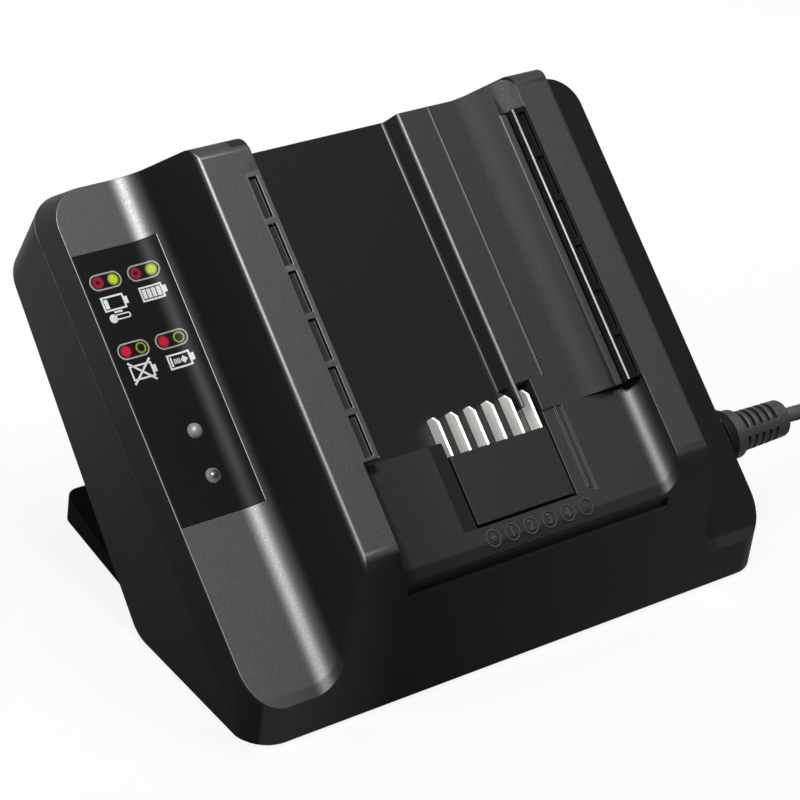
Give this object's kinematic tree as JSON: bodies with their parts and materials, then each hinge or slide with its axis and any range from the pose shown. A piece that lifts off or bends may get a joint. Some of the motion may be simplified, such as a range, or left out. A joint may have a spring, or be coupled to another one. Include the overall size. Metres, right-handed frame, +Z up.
{
  "type": "power tool battery charger",
  "caption": "Wedge-shaped mains charger with a sloping slide-on battery dock, blade contacts, indicator panel, cord and a fold-away rear stand.",
  "frame": {"origin": "on the table, at mid width, under the front face", "axes": "+X to the right, +Y to the back, +Z up"},
  "size_m": [0.3757, 0.2312, 0.1477],
  "materials": {
    "housing_plastic": "fine grained moulded plastic",
    "stand_plastic": "fine grained moulded plastic",
    "panel_plastic": "glossy printed sheet",
    "lamp_plastic": "clear domed epoxy",
    "terminal_plastic": "smooth moulded plastic",
    "nickel_plate": "bright nickel plate",
    "cord_rubber": "soft matt jacket",
    "foot_rubber": "soft matt rubber",
    "board_laminate": "solder masked laminate",
    "ferrite": "pressed ferrite",
    "winding_tape": "yellow tape over copper",
    "extruded_aluminium": "mill finish",
    "component_black": "moulded epoxy",
    "capacitor_sleeve": "shrink sleeve",
    "capacitor_yellow": "boxed film",
    "choke_winding": "enamelled copper",
    "fuse_glass": "nickel caps on glass",
    "relay_case": "moulded case",
    "ribbon_grey": "flat cable",
    "lead_red": "insulated wire",
    "zinc_screw": "zinc plate",
    "pin_steel": "ground steel",
    "bare_plate": "satin"
  },
  "bodies": {
    "charger": {"upper_housing": "housing_plastic", "rail_lips": "housing_plastic", "lower_housing": "housing_plastic", "indicator_panel": "panel_plastic", "indicator_led_red": "lamp_plastic", "indicator_led_green": "lamp_plastic", "indicator_board": "board_laminate", "indicator_ribbon": "ribbon_grey", "terminal_block": "terminal_plastic", "contact_blades": "nickel_plate", "terminal_leads": "lead_red", "main_board": "board_laminate", "board_screws": "zinc_screw", "transformer_core": "ferrite", "transformer_winding": "winding_tape", "primary_heat_sink": "extruded_aluminium", "switching_transistor": "component_black", "secondary_heat_sink": "extruded_aluminium", "rectifier_diode": "component_black", "input_capacitor": "capacitor_sleeve", "output_capacitors": "capacitor_sleeve", "suppression_capacitor": "capacitor_yellow", "line_choke": "choke_winding", "mains_fuse": "fuse_glass", "charge_relay": "relay_case", "cord_clamp": "component_black", "cord_clamp_screws": "zinc_screw", "mains_inner_lead": "cord_rubber", "housing_screws": "zinc_screw", "rubber_feet": "foot_rubber", "rating_plate": "bare_plate", "strain_relief": "cord_rubber", "mains_cord": "cord_rubber", "mains_cord_coil": "cord_rubber", "mains_cord_end": "cord_rubber", "mains_plug": "cord_rubber", "plug_pins": "nickel_plate", "stand_pins": "pin_steel"},
    "stand": {"rear_stand": "stand_plastic", "stand_pads": "foot_rubber"}
  },
  "joints": [
    {"name": "stand_fold", "type": "hinge", "parent": "charger", "child": "stand", "pos_m": [0, 0.0695, 0.0048], "axis": [1, 0, 0], "range_deg": [0, 39]}
  ]
}
